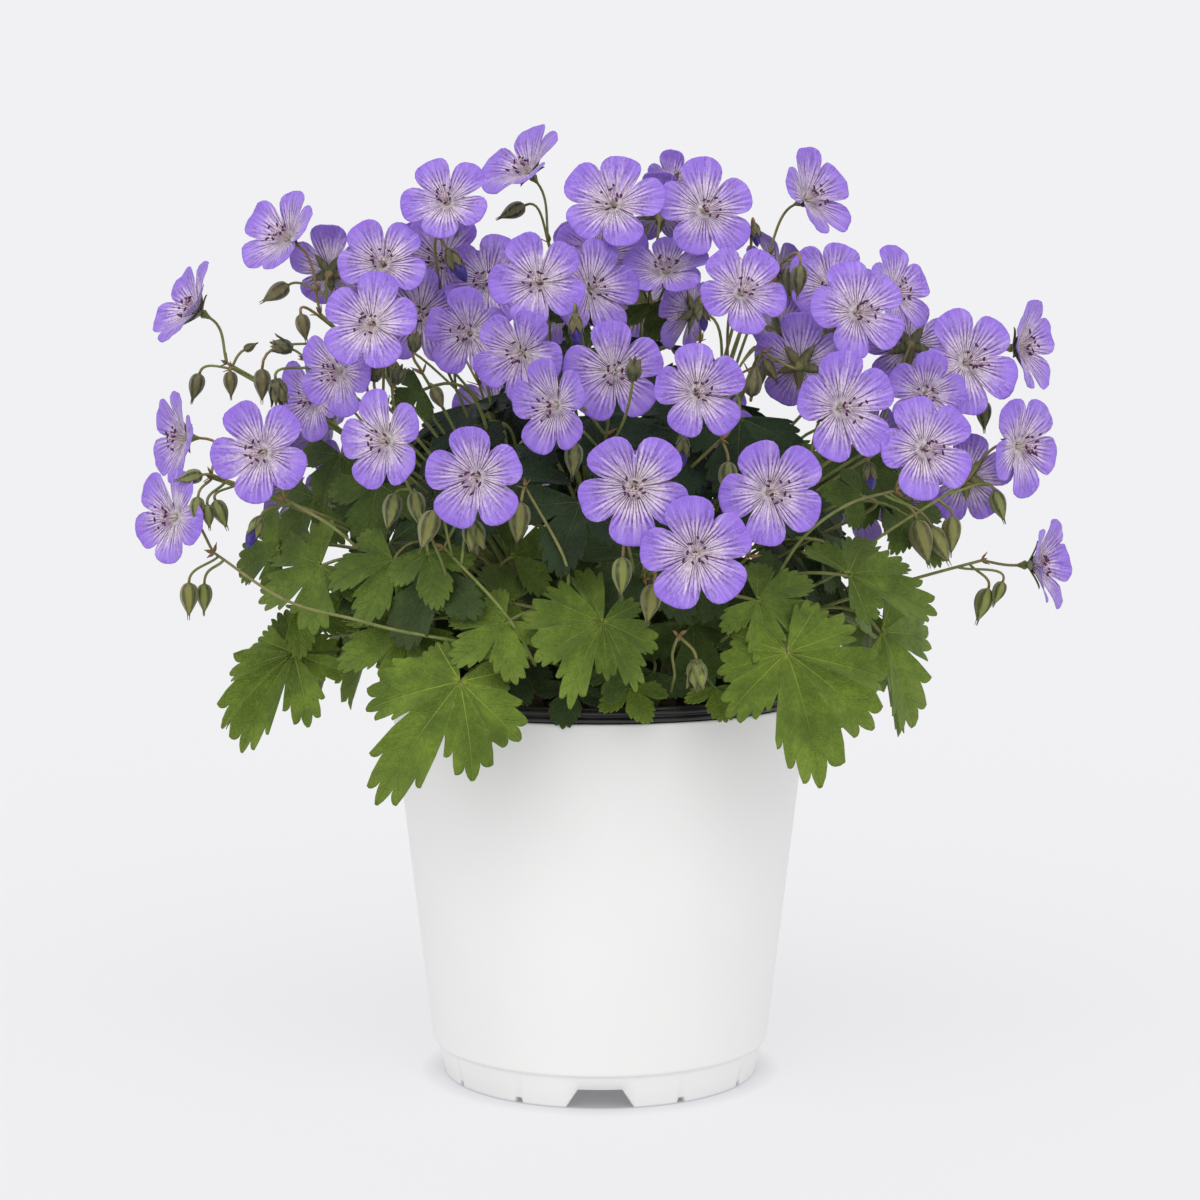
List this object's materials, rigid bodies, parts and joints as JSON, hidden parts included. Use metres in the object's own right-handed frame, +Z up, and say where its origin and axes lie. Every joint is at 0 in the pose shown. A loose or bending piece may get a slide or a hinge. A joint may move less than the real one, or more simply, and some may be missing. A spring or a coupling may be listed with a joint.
{
  "type": "hardy geranium in a pot",
  "caption": "Hardy geranium in flower with violet-blue five-petalled blooms, lobed leaves and nodding buds, growing in a white pot lined with a black nursery pot.",
  "frame": {"origin": "on the ground, in the middle of the pot's foot", "axes": "+Z up; the plant's front, which its finest blooms face, looks along -Y; +X to the right of the front"},
  "size_m": [0.3553, 0.2767, 0.3691],
  "materials": {
    "pot": "satin white injection-moulded polypropylene, bare wall",
    "liner": "black nursery-pot plastic with a ridged lip, slightly glossy on its edges",
    "soil": "moist dark peat and bark compost, crumbly",
    "greenery": "soft matt green leaf with paler veins, olive stems and buds, reddish bracts",
    "petals": "thin silky violet-blue petals with dark branching veins and a pale middle"
  },
  "bodies": {
    "root": {"outer_pot": "pot", "liner": "liner", "soil": "soil", "shoots_1": "greenery", "shoots_2": "greenery", "shoots_3": "greenery", "shoots_4": "greenery", "shoots_5": "greenery", "shoots_6": "greenery", "shoots_7": "greenery", "bloom_01": "petals", "bloom_02": "petals", "bloom_03": "petals", "bloom_04": "petals", "bloom_05_06": "petals", "bloom_07": "petals", "bloom_08": "petals", "bloom_09": "petals", "bloom_10_13": "petals", "bloom_11": "petals", "bloom_12_15": "petals", "bloom_14": "petals", "bloom_16": "petals", "bloom_17": "petals", "bloom_18": "petals", "bloom_19": "petals", "bloom_20": "petals", "bloom_21": "petals", "bloom_22_24_26_32": "petals", "bloom_23": "petals", "bloom_25": "petals", "bloom_27": "petals", "bloom_28": "petals", "bloom_29": "petals", "bloom_30": "petals", "bloom_31": "petals", "bloom_33": "petals", "bloom_34": "petals", "bloom_35": "petals", "bloom_36_37": "petals", "bloom_38": "petals", "bloom_39_40": "petals", "bloom_41_46": "petals", "bloom_42": "petals", "bloom_43": "petals", "bloom_44": "petals", "bloom_45": "petals", "bloom_47": "petals", "bloom_48": "petals", "bloom_49": "petals", "bloom_50": "petals", "bloom_51_52_53": "petals", "bloom_54_55_56": "petals", "bloom_57_58_59": "petals", "bloom_60_61_62": "petals", "bloom_63_64_65": "petals", "bloom_66_67_68": "petals", "bloom_69_70_71": "petals"}
  },
  "joints": []
}
